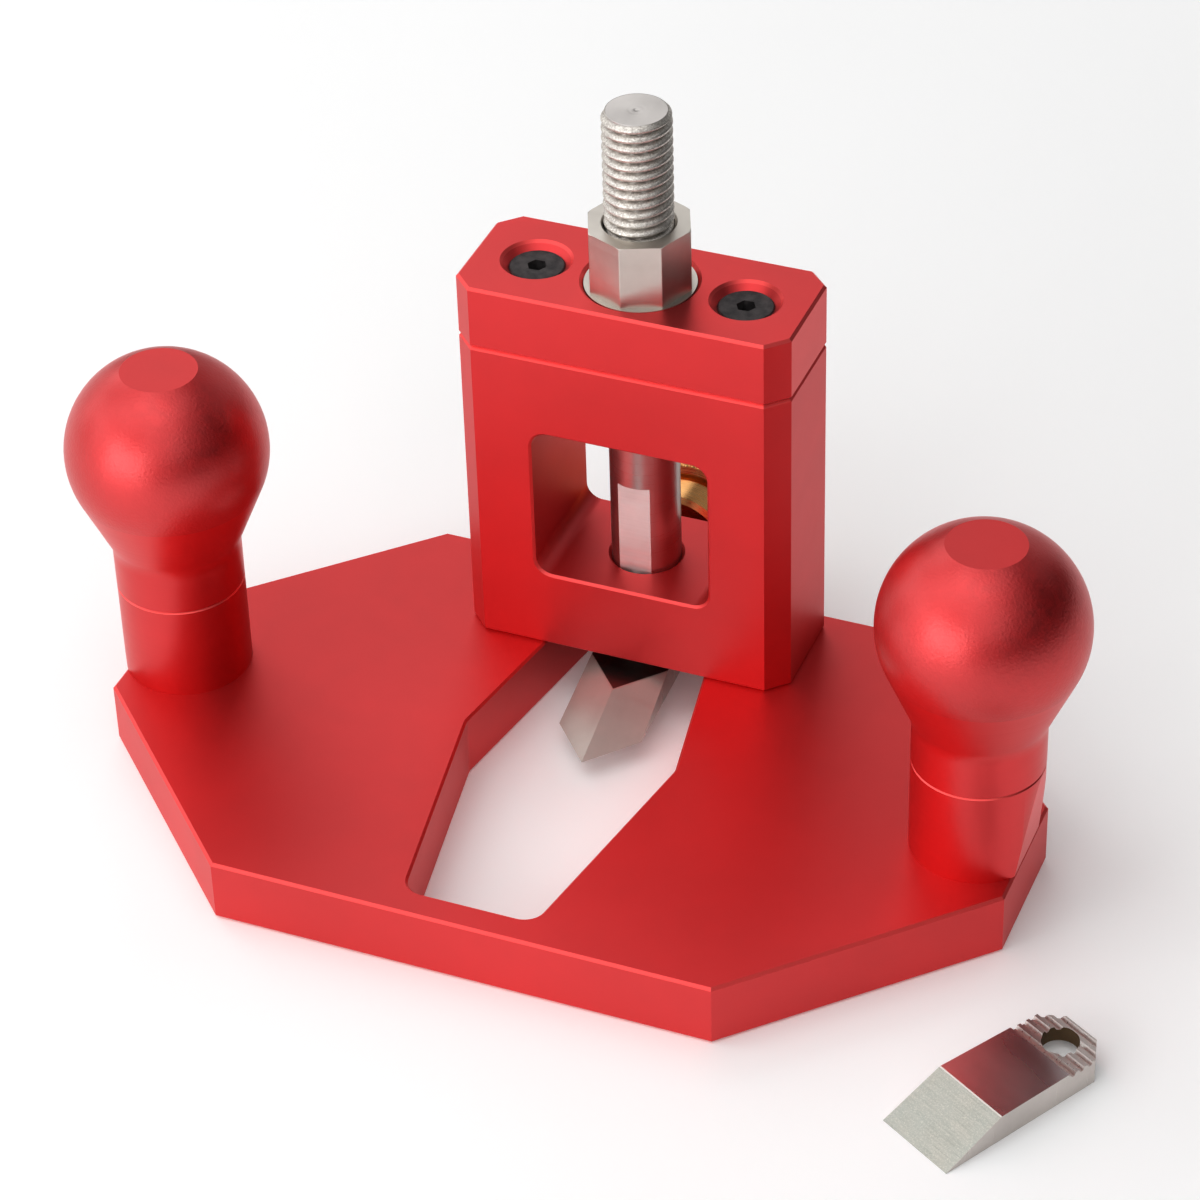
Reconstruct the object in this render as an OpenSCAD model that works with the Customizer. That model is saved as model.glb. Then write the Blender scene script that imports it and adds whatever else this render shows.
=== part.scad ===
// Hand router plane with a spare straight cutter.
// Millimetres. The origin is on the sole, on the axis of the cutter post.
// X runs from knob to knob, Y away from the user, Z up.

/* [Base plate] */
// Length of the plate from knob side to knob side
plate_l = 136; // [130:1:160]
// Depth of the plate from front to back
plate_w = 82.5; // [76:0.5:100]
// Thickness of the plate
plate_t = 9.8; // [9.2:0.1:11]
// Size of the 45 degree corner cuts
plate_corner = 31; // [20:1:34]
// Width of the broken outer edges
edge_break = 0.4; // [0.2:0.05:0.6]
// Solid border in front of the mouth and behind it
mouth_border = 4.5; // [3:0.25:5.5]
// Width of the mouth at its middle
mouth_mid_w = 32.2; // [26:0.2:40]
// Width of the mouth at its two ends
mouth_end_w = 19.3; // [18:0.1:23]
// Radius of the corners of the mouth
mouth_r = 3; // [1:0.25:3.5]

/* [Column] */
// Width of the column
column_w = 50; // [47:0.5:58]
// Depth of the column, flush with the back of the plate
column_d = 20.5; // [20.2:0.1:24]
// Height of the solid block below the window
block_h = 12.8; // [12.4:0.1:15]
// Height of the window
window_h = 24.7; // [20:0.1:28]
// Width of the window
window_w = 26.8; // [20:0.2:28]
// Radius of the corners of the window
window_r = 2.5; // [1:0.25:5]
// Height of the beam above the window
beam_h = 12.7; // [11:0.1:15]
// Corner cuts on the upright edges of the column and its cap
column_corner = 3; // [1.5:0.25:4]
// Broken edges round the post hole, in the window and above it
post_hole_break = 0.45; // [0.2:0.05:0.6]
// Distance of the column screws from the ends of the column
column_screw_inset = 6; // [5.2:0.1:7]
// Distance of the column screws from the front and the back of the column
column_screw_edge = 5.25; // [5:0.05:5.75]

/* [Cap] */
// Thickness of the cap
cap_t = 9.9; // [9:0.1:12]
// Distance of each cap screw from the post axis
cap_screw_x = 15.7; // [15:0.1:17]
// Depth of the cap screw heads below the top of the cap
cap_screw_depth = 1; // [0.6:0.1:1.2]
// Broken edge round the hole for the nut
cap_hole_break = 0.5; // [0.2:0.1:0.8]

/* [Adjusting nut] */
// Width across the flats of the eight-sided head
nut_af = 14.2; // [13:0.1:14.6]
// Height of the eight-sided head
nut_head_h = 9.8; // [8:0.1:12]
// Height of the chamfers at the top of the head
nut_chamfer = 0.35; // [0.2:0.05:0.6]
// Width of the flat rim outside the flats, at the top of the head
nut_crown = 0.3; // [0.1:0.05:0.4]
// Diameter of the round collar that turns in the cap
collar_d = 16; // [15.9:0.1:16.6]
// Depth of the top of the collar below the top of the cap
collar_drop = 0.3; // [0.1:0.1:0.6]
// Diameter of the captive flange
flange_d = 18.4; // [17.8:0.1:18.6]
// Thickness of the captive flange
flange_t = 4; // [3:0.1:5]
// Thickness of the thrust washer under the flange
washer_t = 0.8; // [0.5:0.1:1.5]
// Hole in the thrust washer
washer_bore = 12; // [11:0.1:14]

/* [Cutter post] */
// Diameter of the plain part of the post
post_d = 10.25; // [10.1:0.05:10.6]
// Outside diameter of the thread
thread_d = 9.9; // [9.6:0.05:10]
// Length of the threaded part
thread_len = 39.7; // [38.5:0.1:41]
// Height of the threaded end above the nut
thread_above_nut = 17.8; // [16:0.1:20]
// Chamfer at the threaded end
thread_chamfer = 0.62; // [0.3:0.02:1]
// Distance of the flat from the post axis
flat_y = 4.5; // [4.2:0.05:4.8]
// Height of the top of the flat above the plate
flat_top = 27.5; // [27:0.1:32]
// Diameter of the guide pin that bears on the flat
pin_d = 3; // [2.5:0.1:3.2]
// Length of the guide pin
pin_len = 12; // [9:0.1:12.2]

/* [Cutters] */
// Thickness of both cutters
cutter_t = 4.2; // [3.6:0.1:4.3]
// Height of the fitted cutter above the sole
cutter_z = 3.45; // [2.5:0.05:3.5]
// Width of the pointed cutter at its corners
v_cutter_w = 12.9; // [11.6:0.1:13.5]
// Width of the straight cutter at its edge
straight_w = 12.6; // [11.6:0.1:13.5]
// Width of both cutters at the start of the rear chamfers
tail_w = 11.4; // [10.8:0.1:11.5]
// Width of the rear end of both cutters
tail_end_w = 5.9; // [5:0.1:7]
// Length of the rear chamfers
tail_chamfer = 2.75; // [2:0.05:3.2]
// Distance from the hole to the rear end
tail_len = 3.8; // [3.8:0.05:5]
// Distance from the hole to the tip of the pointed cutter
v_reach = 27.05; // [22:0.05:30]
// Distance from the hole to the edge of the straight cutter
straight_reach = 25.4; // [20:0.1:30]
// Half of the angle between the two edges of the pointed cutter
v_half_angle = 41.6; // [38:0.2:50]
// Angle of the ground bevels of the pointed cutter
v_bevel = 27; // [24:0.5:35]
// Angle of the ground bevel of the straight cutter
straight_bevel = 23.7; // [20:0.1:32]
// Hole for the cutter screw
cutter_hole = 5.2; // [5.15:0.05:5.6]
// Diameter of the cutter screw
cutter_screw_d = 5; // [4:0.1:5]
// Diameter of the head of the cutter screw
cutter_head_d = 7.2; // [6.6:0.1:7.3]
// Length of the cutter screw
cutter_screw_len = 12; // [9:0.5:16]

/* [Serrations] */
// Distance from one serration to the next
tooth_pitch = 1.5; // [1.4:0.05:1.6]
// Depth of the serrations
tooth_depth = 0.5; // [0.3:0.05:0.6]
// Width of a groove at its bottom
tooth_bottom = 0.4; // [0.3:0.05:0.6]
// Slope of the sides of a groove
tooth_slope = 60; // [55:1:70]
// Number of grooves
tooth_count = 5; // [4:1:5]
// Depth of the serrated seat below the flat top of the cutter
seat_drop = 0.25; // [0.1:0.05:0.4]

/* [Knobs and risers] */
// Distance of the knob axis from the side of the plate
knob_inset = 7.4; // [6.8:0.1:9]
// Diameter of the risers
riser_d = 18.6; // [17.5:0.1:20]
// Height of the risers
riser_h = 14.9; // [11:0.1:20]
// Diameter of the neck of the knobs
neck_d = 18.6; // [17.8:0.1:19.4]
// Height of the straight part of the neck
neck_h = 7; // [5:0.1:8]
// Radius of the hollow between the neck and the flare
neck_blend = 6; // [2:0.5:9]
// Diameter of the ball
ball_d = 29.2; // [27.6:0.1:30.4]
// Height of the middle of the ball above the riser
ball_h = 22.4; // [21.6:0.1:25]
// Height of the flat top above the middle of the ball
ball_top = 13.5; // [12:0.05:13.7]
// Depth by which the flare runs into the ball
flare_dip = 0.06; // [0.03:0.01:0.2]
// Broken edges at the joint between knob and riser
ring_break = 0.25; // [0.1:0.05:0.5]
// Diameter of the pins that keep the risers from turning
riser_pin_d = 3; // [2:0.1:3]
// Length of those pins
riser_pin_len = 8; // [6:0.2:9]
// Distance of those pins from the knob axis
riser_pin_off = 5.8; // [5.4:0.1:6.2]

/* [Screws] */
// Diameter of the column and cap screws
small_screw_d = 4; // [3:0.1:4]
// Head diameter of the column and cap screws
small_head_d = 8; // [7.4:0.1:8.2]
// Socket of the column and cap screws across its flats
small_socket = 2.5; // [2:0.1:3]
// Length of the column screws
column_screw_len = 16; // [14:0.5:19]
// Length of the cap screws
cap_screw_len = 20; // [16:0.5:20]
// Diameter of the knob screws
knob_screw_d = 6; // [5:0.1:6]
// Head diameter of the knob screws
knob_head_d = 12; // [10.5:0.1:12.4]
// Socket of the knob screws across its flats
knob_socket = 4; // [3:0.1:4.5]
// Length of the knob screws
knob_screw_len = 45; // [38:1:52]

/* [Lock screw] */
// Height of the lock screw above the plate
lock_z = 6.4; // [5.5:0.1:7]
// Diameter of its stem
lock_stem_d = 6; // [5:0.1:6]
// Distance of its collar from the column
lock_gap = 1.75; // [1:0.05:4]
// Diameter of the collar
lock_collar_d = 15.4; // [12:0.2:17]
// Length of the collar
lock_collar_l = 5; // [3:0.1:7]
// Width of the groove between collar and head
lock_groove_l = 0.8; // [0.5:0.1:1.5]
// Depth of that groove
lock_groove_depth = 0.7; // [0.3:0.1:1.2]
// Diameter of the knurled head
lock_head_d = 18; // [16:0.2:20]
// Length of the knurled head
lock_head_l = 6.2; // [4:0.1:9]
// Chamfer of the head and the collar
lock_chamfer = 0.7; // [0.3:0.1:1.2]

/* [Place of the spare cutter] */
// Middle of its edge, to the right of the post
spare_x = 68.6; // [64:0.2:90]
// Middle of its edge, in front of the post
spare_y = 81.35; // [80:0.05:110]
// Direction of its length, from the X axis
spare_turn = 59.05; // [40:0.05:80]

/* [Fits] */
// Radial clearance of turning and sliding parts
run_fit = 0.05; // [0.02:0.01:0.08]
// Gap between a screw and its tapped hole, and under its head
seat_gap = 0.05; // [0.03:0.01:0.08]
// Radial clearance of the screws in their clearance holes
screw_clear = 0.2; // [0.1:0.05:0.3]
// Clearance of the pins in their holes
pin_fit = 0.02; // [0.01:0.01:0.05]
// Depth of the screw heads below the faces that they are sunk in
sink = 0.3; // [0.2:0.1:0.4]

/* [Hidden] */
$fn = 96;

// Cuts run this far past a face
over = 1;
// Steps of an arc in an outline
arc_steps = 10;
// Sides of the nut's head and of the screw sockets
nut_sides = 8;
socket_sides = 6;

// Places of the plate, whose back is flush with the back of the column
plate_back = column_d / 2;
plate_mid = plate_back - plate_w / 2;
mouth_half = plate_w / 2 - mouth_border;

// Heights of the column and what stands on it
block_top = plate_t + block_h;
window_top = block_top + window_h;
column_top = window_top + beam_h;
cap_top = column_top + cap_t;

// The nut and its pocket in the cap
washer_top = column_top + washer_t;
flange_low = washer_top + run_fit;
flange_high = flange_low + flange_t;
pocket_top = flange_high + run_fit;
collar_top = cap_top - collar_drop;
nut_top = collar_top + nut_head_h;
nut_corner_r = corner_r(nut_af, nut_sides);
nut_bore_r = thread_d / 2 + run_fit;

// The post, its foot and its travel
post_r = post_d / 2;
post_bore_r = post_r + run_fit;
foot_z = cutter_z + cutter_t - seat_drop;
post_top = nut_top + thread_above_nut;
thread_low = post_top - thread_len;
flat_high = plate_t + flat_top;
pin_y = -flat_y - run_fit - pin_d / 2;
pin_top = plate_t + pin_len;
cutter_tap_depth = 3;

// Serrated seat, measured along the cutter from the hole
tooth_run = tooth_depth / tan(tooth_slope);
groove_w = tooth_bottom + 2 * tooth_run;
seat_len = tooth_count * tooth_pitch;
seat_front = tail_len - seat_len;

// Knobs
knob_x = plate_l / 2 - knob_inset;
knob_low = plate_t + riser_h;
riser_r = riser_d / 2;
trim_lean = atan2(riser_r - knob_inset, riser_h);

// Screws
cap_screw_top = cap_top - cap_screw_depth;
column_screw_x = column_w / 2 - column_screw_inset;
column_screw_y = column_d / 2 - column_screw_edge;
socket_share = 0.55;
lock_axis_z = plate_t + lock_z;

// Distance from the middle to the corners of a shape measured across its flats
function corner_r(flats, sides) = flats / 2 / cos(180 / sides);

// Outline of a rectangle with its four corners cut at 45 degrees, anticlockwise
function cut_rect(w, d, c, y = 0) = [
    [-w / 2 + c, y - d / 2], [w / 2 - c, y - d / 2],
    [w / 2, y - d / 2 + c], [w / 2, y + d / 2 - c],
    [w / 2 - c, y + d / 2], [-w / 2 + c, y + d / 2],
    [-w / 2, y + d / 2 - c], [-w / 2, y - d / 2 + c]
];

function unit(v) = v / norm(v);

// Points of the arc that rounds the corner b of the line a, b, c
function round_corner(a, b, c, r) =
    let (
        u = unit(a - b),
        w = unit(c - b),
        half = acos(u * w) / 2,
        mid = b + unit(u + w) * r / sin(half),
        start = b + u * r / tan(half) - mid,
        finish = b + w * r / tan(half) - mid,
        from = atan2(start[1], start[0]),
        turn = atan2(start[0] * finish[1] - start[1] * finish[0], start * finish)
    )
    [for (i = [0 : arc_steps]) mid + r * [cos(from + turn * i / arc_steps), sin(from + turn * i / arc_steps)]];

// A closed outline with every corner rounded
function rounded(points, r) =
    let (n = len(points))
    [for (i = [0 : n - 1]) each round_corner(points[(i + n - 1) % n], points[i], points[(i + 1) % n], r)];

// Removes a 45 degree strip along each edge of an outline at height z
module break_edges(outline, z, c = edge_break) {
    side = c * sqrt(2);
    count = len(outline);
    for (i = [0 : count - 1]) {
        a = outline[i];
        b = outline[(i + 1) % count];
        translate([a[0], a[1], z])
            rotate([0, 0, atan2(b[1] - a[1], b[0] - a[0])])
                translate([-c, 0, 0])
                    rotate([45, 0, 0])
                        translate([0, -side / 2, -side / 2])
                            cube([norm(b - a) + 2 * c, side, side]);
    }
}

// A prism on an outline, with its upper and lower edges broken
module broken_prism(outline, low, high) {
    difference() {
        translate([0, 0, low])
            linear_extrude(high - low)
                polygon(outline);
        break_edges(outline, low);
        break_edges(outline, high);
    }
}

// Countersunk socket screw with its head at the top, at z = 0
module sunk_screw(d, head_d, length, socket) {
    rim = 0.2;
    cone = (head_d - d) / 2;
    difference() {
        union() {
            translate([0, 0, -rim])
                cylinder(r = head_d / 2, h = rim);
            translate([0, 0, -rim - cone])
                cylinder(r1 = d / 2, r2 = head_d / 2, h = cone);
            translate([0, 0, -length])
                cylinder(r = d / 2, h = length - rim);
        }
        translate([0, 0, -socket * socket_share - rim])
            cylinder(r = corner_r(socket, socket_sides), h = socket, $fn = socket_sides);
    }
}

// Hole for such a screw, with the cone carried on above the head by the given height
module sunk_hole(d, head_d, hole_r, depth, above) {
    rim = 0.2;
    cone = (head_d - d) / 2 + seat_gap;
    reach = head_d / 2 + seat_gap;
    translate([0, 0, -depth])
        cylinder(r = hole_r, h = depth);
    translate([0, 0, -rim - cone])
        cylinder(r1 = reach - cone, r2 = reach, h = cone);
    translate([0, 0, -rim - over / 1000])
        cylinder(r1 = reach, r2 = reach + rim + above, h = rim + above + over / 1000);
}

module at_cap_screws() {
    for (side = [-1, 1])
        translate([side * cap_screw_x, 0, cap_screw_top])
            children();
}

// Screws set from below stand on their heads
module at_column_screws() {
    for (side = [-1, 1], row = [-1, 1])
        translate([side * column_screw_x, row * column_screw_y, sink])
            mirror([0, 0, 1])
                children();
}

module at_knobs() {
    for (side = [-1, 1])
        translate([side * knob_x, plate_mid, 0])
            children();
}

module from_below(z) {
    translate([0, 0, z])
        mirror([0, 0, 1])
            children();
}

module at_riser_pins(extra) {
    for (side = [-1, 1])
        translate([side * (knob_x - riser_pin_off), plate_mid, plate_t - riser_pin_len / 2 - extra])
            children();
}

// Mouth: a long opening, widest in the middle
module mouth_outline() {
    corners = [
        [-mouth_end_w / 2, -mouth_half], [mouth_end_w / 2, -mouth_half],
        [mouth_mid_w / 2, 0],
        [mouth_end_w / 2, mouth_half], [-mouth_end_w / 2, mouth_half],
        [-mouth_mid_w / 2, 0]
    ];
    translate([0, plate_mid])
        polygon(rounded(corners, mouth_r));
}

module base_plate() {
    color("crimson")
        difference() {
            broken_prism(cut_rect(plate_l, plate_w, plate_corner, plate_mid), 0, plate_t);
            translate([0, 0, -over])
                linear_extrude(plate_t + 2 * over)
                    mouth_outline();
            at_column_screws()
                sunk_hole(small_screw_d, small_head_d, small_screw_d / 2 + screw_clear, plate_t + over, sink + over);
            at_knobs()
                from_below(sink)
                    sunk_hole(knob_screw_d, knob_head_d, knob_screw_d / 2 + screw_clear, plate_t + over, sink + over);
            at_riser_pins(pin_fit)
                cylinder(r = riser_pin_d / 2 + pin_fit, h = riser_pin_len);
        }
}

// Window outline in the XZ plane, with true round corners
module window_outline() {
    half = window_w / 2;
    translate([-half + window_r, block_top])
        square([window_w - 2 * window_r, window_h]);
    translate([-half, block_top + window_r])
        square([window_w, window_h - 2 * window_r]);
    for (x = [-half + window_r, half - window_r], z = [block_top + window_r, window_top - window_r])
        translate([x, z])
            circle(r = window_r);
}

// Cone that breaks the edge of the post hole where it opens upwards at height z
module post_hole_cone(z) {
    translate([0, 0, z - post_hole_break])
        cylinder(r1 = post_bore_r, r2 = post_bore_r + post_hole_break + over, h = post_hole_break + over);
}

module column() {
    outline = cut_rect(column_w, column_d, column_corner);
    color("crimson")
        difference() {
            broken_prism(outline, plate_t, column_top);
            translate([0, column_d / 2 + over, 0])
                rotate([90, 0, 0])
                    linear_extrude(column_d + 2 * over)
                        window_outline();
            translate([0, 0, plate_t - over])
                cylinder(r = post_bore_r, h = column_top - plate_t + 2 * over);
            post_hole_cone(block_top);
            from_below(window_top)
                post_hole_cone(0);
            post_hole_cone(column_top);
            translate([0, pin_y, plate_t - over])
                cylinder(r = pin_d / 2 + pin_fit, h = pin_len + pin_fit + over);
            translate([0, 0, lock_axis_z])
                rotate([-90, 0, 0])
                    cylinder(r = lock_stem_d / 2 + run_fit, h = column_d / 2 + over);
            at_column_screws()
                translate([0, 0, -column_screw_len - seat_gap])
                    cylinder(r = small_screw_d / 2 + seat_gap, h = column_screw_len);
            at_cap_screws()
                translate([0, 0, -cap_screw_len - seat_gap])
                    cylinder(r = small_screw_d / 2 + seat_gap, h = cap_screw_len);
        }
}

module column_cap() {
    hole_r = collar_d / 2 + run_fit * 2;
    color("crimson")
        difference() {
            broken_prism(cut_rect(column_w, column_d, column_corner), column_top, cap_top);
            translate([0, 0, column_top - over])
                cylinder(r = flange_d / 2 + run_fit * 2, h = pocket_top - column_top + over);
            translate([0, 0, column_top])
                cylinder(r = hole_r, h = cap_t + over);
            translate([0, 0, cap_top - cap_hole_break])
                cylinder(r1 = hole_r, r2 = hole_r + cap_hole_break + over, h = cap_hole_break + over);
            at_cap_screws()
                sunk_hole(small_screw_d, small_head_d, small_screw_d / 2 + screw_clear, cap_t + over, cap_screw_depth + over);
        }
}

module cap_screws() {
    color("dimgray")
        at_cap_screws()
            sunk_screw(small_screw_d, small_head_d, cap_screw_len, small_socket);
}

module column_screws() {
    color("dimgray")
        at_column_screws()
            sunk_screw(small_screw_d, small_head_d, column_screw_len, small_socket);
}

// Eight-sided head, round collar and captive flange in one piece
module adjusting_nut() {
    chamfer = nut_chamfer;
    top_r = nut_af / 2 + nut_crown;
    color("silver")
        difference() {
            union() {
                translate([0, 0, flange_low])
                    cylinder(r = flange_d / 2, h = flange_t);
                translate([0, 0, flange_low])
                    cylinder(r = collar_d / 2, h = collar_top - flange_low);
                intersection() {
                    translate([0, 0, flange_high])
                        cylinder(r = nut_corner_r, h = nut_top - flange_high, $fn = nut_sides);
                    union() {
                        translate([0, 0, flange_high])
                            cylinder(r = nut_corner_r + over, h = nut_top - chamfer - flange_high);
                        translate([0, 0, nut_top - chamfer])
                            cylinder(r1 = top_r + chamfer * 2, r2 = top_r, h = chamfer);
                    }
                }
            }
            translate([0, 0, flange_low - over])
                cylinder(r = nut_bore_r, h = nut_top - flange_low + 2 * over);
            translate([0, 0, nut_top - chamfer])
                cylinder(r1 = nut_bore_r, r2 = nut_bore_r + chamfer + over, h = chamfer + over);
        }
}

module thrust_washer() {
    color("goldenrod")
        translate([0, 0, column_top])
            difference() {
                cylinder(r = flange_d / 2, h = washer_t);
                translate([0, 0, -over])
                    cylinder(r = washer_bore / 2, h = washer_t + 2 * over);
            }
}

// One groove of the serrated seat, or one tooth of the foot, seen along X
module tooth(gap) {
    top = groove_w / 2 - gap;
    low = tooth_bottom / 2 - gap / 2;
    polygon([[-top, 0], [-low, -tooth_depth + gap], [low, -tooth_depth + gap], [top, 0]]);
}

// Row of teeth along Y from the front of the seat, as wide as given
module tooth_row(width, gap, above) {
    for (i = [0 : tooth_count - 1])
        translate([-width / 2, seat_front + (i + 0.5) * tooth_pitch, 0])
            rotate([90, 0, 90])
                linear_extrude(width) {
                    tooth(gap);
                    translate([-groove_w / 2 + gap, 0])
                        square([groove_w - 2 * gap, above]);
                }
}

module cutter_post() {
    relief = seat_drop + seat_gap;
    color("lightslategray")
        difference() {
            union() {
                translate([0, 0, foot_z])
                    cylinder(r = post_r, h = thread_low - foot_z);
                translate([0, 0, thread_low])
                    cylinder(r = thread_d / 2, h = thread_len - thread_chamfer);
                translate([0, 0, post_top - thread_chamfer])
                    cylinder(r1 = thread_d / 2, r2 = thread_d / 2 - thread_chamfer, h = thread_chamfer);
                intersection() {
                    translate([0, 0, foot_z - tooth_depth])
                        cylinder(r = post_r, h = tooth_depth + over);
                    translate([0, 0, foot_z])
                        tooth_row(post_d, seat_gap, over);
                }
            }
            translate([-post_r, -post_r - over, foot_z - over])
                cube([post_d, post_r + over - flat_y, flat_high - foot_z + over]);
            translate([-post_r, -post_r - over, foot_z - over])
                cube([post_d, post_r + over + seat_front + seat_gap, over + relief]);
            translate([0, 0, foot_z - over])
                cylinder(r = cutter_screw_d / 2 + seat_gap, h = over + cutter_screw_len - cutter_t + cutter_tap_depth);
        }
}

module guide_pin() {
    color("silver")
        translate([0, pin_y, plate_t])
            cylinder(r = pin_d / 2, h = pin_len);
}

// Plan of a cutter: hole at the origin, working end towards -Y
module cutter_plan(width, shoulder, tip) {
    taper_end = tail_len - tail_chamfer;
    polygon(concat(
        tip,
        [
            [width / 2, -shoulder], [tail_w / 2, taper_end],
            [tail_end_w / 2, tail_len], [-tail_end_w / 2, tail_len],
            [-tail_w / 2, taper_end], [-width / 2, -shoulder]
        ]
    ));
}

// What both cutters share: serrated seat, hole and sunk screw head
module cutter_body(width, shoulder, tip) {
    difference() {
        linear_extrude(cutter_t)
            cutter_plan(width, shoulder, tip);
        translate([-width, seat_front, cutter_t - seat_drop])
            cube([2 * width, seat_len + over, seat_drop + over]);
        translate([0, 0, cutter_t - seat_drop])
            tooth_row(2 * width, 0, over);
        from_below(sink)
            sunk_hole(cutter_screw_d, cutter_head_d, cutter_hole / 2, cutter_t + over, sink + over);
    }
}

// Wedge above a bevel that starts on a line along X through y = 0
module bevel_wedge(angle, reach) {
    rotate([angle, 0, 0])
        translate([-reach, -reach, 0])
            cube([2 * reach, 3 * reach, 2 * reach]);
}

module v_cutter() {
    corner = v_reach - v_cutter_w / 2 / tan(v_half_angle);
    color("lightslategray")
        translate([0, 0, cutter_z])
            difference() {
                cutter_body(v_cutter_w, corner, [[0, -v_reach]]);
                for (side = [-1, 1])
                    translate([0, -v_reach, 0])
                        rotate([0, 0, side * (90 - v_half_angle)])
                            bevel_wedge(v_bevel, v_reach);
            }
}

module straight_cutter() {
    color("lightslategray")
        translate([spare_x, -spare_y, 0])
            rotate([0, 0, spare_turn - 90])
                translate([0, straight_reach, 0])
                    difference() {
                        cutter_body(straight_w, straight_reach, []);
                        translate([0, -straight_reach, 0])
                            bevel_wedge(straight_bevel, straight_reach);
                    }
}

module cutter_screw() {
    color("dimgray")
        from_below(cutter_z + sink)
            sunk_screw(cutter_screw_d, cutter_head_d, cutter_screw_len, small_socket);
}

// Profile of the lock screw: radius against distance from the post axis
module lock_screw() {
    stem_r = lock_stem_d / 2;
    collar_r = lock_collar_d / 2;
    head_r = lock_head_d / 2;
    groove_r = collar_r - lock_groove_depth;
    tip = post_r + run_fit;
    y1 = column_d / 2 + lock_gap;
    y2 = y1 + lock_collar_l;
    y3 = y2 + lock_groove_l;
    y4 = y3 + lock_head_l;
    c = lock_chamfer;
    color("goldenrod")
        translate([0, 0, lock_axis_z])
            rotate([-90, 0, 0])
                rotate_extrude()
                    polygon([
                        [0, tip], [stem_r - c, tip], [stem_r, tip + c], [stem_r, y1],
                        [collar_r - c, y1], [collar_r, y1 + c], [collar_r, y2],
                        [groove_r, y2], [groove_r, y3],
                        [head_r - c, y3], [head_r, y3 + c], [head_r, y4 - c], [head_r - c, y4], [0, y4]
                    ]);
}

// Round riser, trimmed by a plane from the plate's upper edge out to the ring
module riser(side) {
    color("crimson")
        translate([side * knob_x, plate_mid, 0])
            difference() {
                union() {
                    translate([0, 0, plate_t])
                        cylinder(r = riser_r, h = riser_h - ring_break);
                    translate([0, 0, knob_low - ring_break])
                        cylinder(r1 = riser_r, r2 = riser_r - ring_break, h = ring_break);
                }
                translate([side * knob_inset, 0, plate_t])
                    rotate([0, side * trim_lean, 0])
                        translate([side > 0 ? 0 : -riser_d, -riser_d, -riser_d])
                            cube([riser_d, 2 * riser_d, riser_h + 2 * riser_d]);
                cylinder(r = knob_screw_d / 2 + screw_clear, h = knob_low + over);
                translate([-side * riser_pin_off, 0, plate_t - over])
                    cylinder(r = riser_pin_d / 2 + pin_fit, h = riser_pin_len / 2 + pin_fit + over);
            }
}

module riser_left() {
    riser(-1);
}

module riser_right() {
    riser(1);
}

// Half of the knob's profile: a neck, a hollow, a flare that runs into the ball, and a flat top
module knob_profile() {
    neck_r = neck_d / 2;
    ball_r = ball_d / 2;
    reach = [neck_r, neck_h - ball_h];
    meet = atan2(reach[1], reach[0]) + acos((ball_r - flare_dip) / norm(reach));
    flare_end = [0, ball_h] + (ball_r - flare_dip) * [cos(meet), sin(meet)];
    start = [neck_r, ring_break];
    bend = round_corner(start, [neck_r, neck_h], flare_end, neck_blend);
    intersection() {
        square([ball_r, ball_h + ball_top]);
        union() {
            translate([0, ball_h])
                circle(r = ball_r);
            polygon(concat(
                [[0, 0], [neck_r - ring_break, 0], start],
                bend,
                [flare_end, [0, flare_end[1]]]
            ));
        }
    }
}

module knob(side) {
    color("crimson")
        translate([side * knob_x, plate_mid, knob_low])
            difference() {
                rotate_extrude()
                    knob_profile();
                translate([0, 0, -over])
                    cylinder(r = knob_screw_d / 2 + seat_gap, h = knob_screw_len + sink - knob_low + seat_gap + over);
            }
}

module knob_left() {
    knob(-1);
}

module knob_right() {
    knob(1);
}

module knob_screws() {
    color("dimgray")
        at_knobs()
            from_below(sink)
                sunk_screw(knob_screw_d, knob_head_d, knob_screw_len, knob_socket);
}

module riser_pins() {
    color("silver")
        at_riser_pins(0)
            cylinder(r = riser_pin_d / 2, h = riser_pin_len);
}

base_plate();
column();
column_cap();
cap_screws();
column_screws();
adjusting_nut();
thrust_washer();
cutter_post();
guide_pin();
v_cutter();
cutter_screw();
lock_screw();
riser_left();
riser_right();
knob_left();
knob_right();
knob_screws();
riser_pins();
straight_cutter();
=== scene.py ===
"""Hand router plane in red anodised aluminium, with a spare straight cutter beside it."""
import math

import bmesh
import bpy
from mathutils import Matrix, Vector


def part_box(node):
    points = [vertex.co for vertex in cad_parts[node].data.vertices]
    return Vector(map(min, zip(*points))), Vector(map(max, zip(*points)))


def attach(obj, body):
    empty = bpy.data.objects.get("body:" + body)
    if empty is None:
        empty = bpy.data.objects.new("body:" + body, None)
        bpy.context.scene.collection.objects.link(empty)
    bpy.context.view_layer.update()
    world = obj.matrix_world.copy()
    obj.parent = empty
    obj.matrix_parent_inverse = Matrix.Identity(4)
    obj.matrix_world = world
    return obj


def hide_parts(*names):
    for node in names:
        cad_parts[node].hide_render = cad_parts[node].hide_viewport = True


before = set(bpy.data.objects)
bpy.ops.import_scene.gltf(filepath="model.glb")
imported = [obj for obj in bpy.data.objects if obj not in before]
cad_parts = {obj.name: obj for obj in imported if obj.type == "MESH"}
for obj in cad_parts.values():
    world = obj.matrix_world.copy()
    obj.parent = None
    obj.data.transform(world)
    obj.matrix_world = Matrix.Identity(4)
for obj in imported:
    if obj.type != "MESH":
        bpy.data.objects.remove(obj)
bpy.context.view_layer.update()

MM = 0.001
TAU = 2 * math.pi

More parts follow.
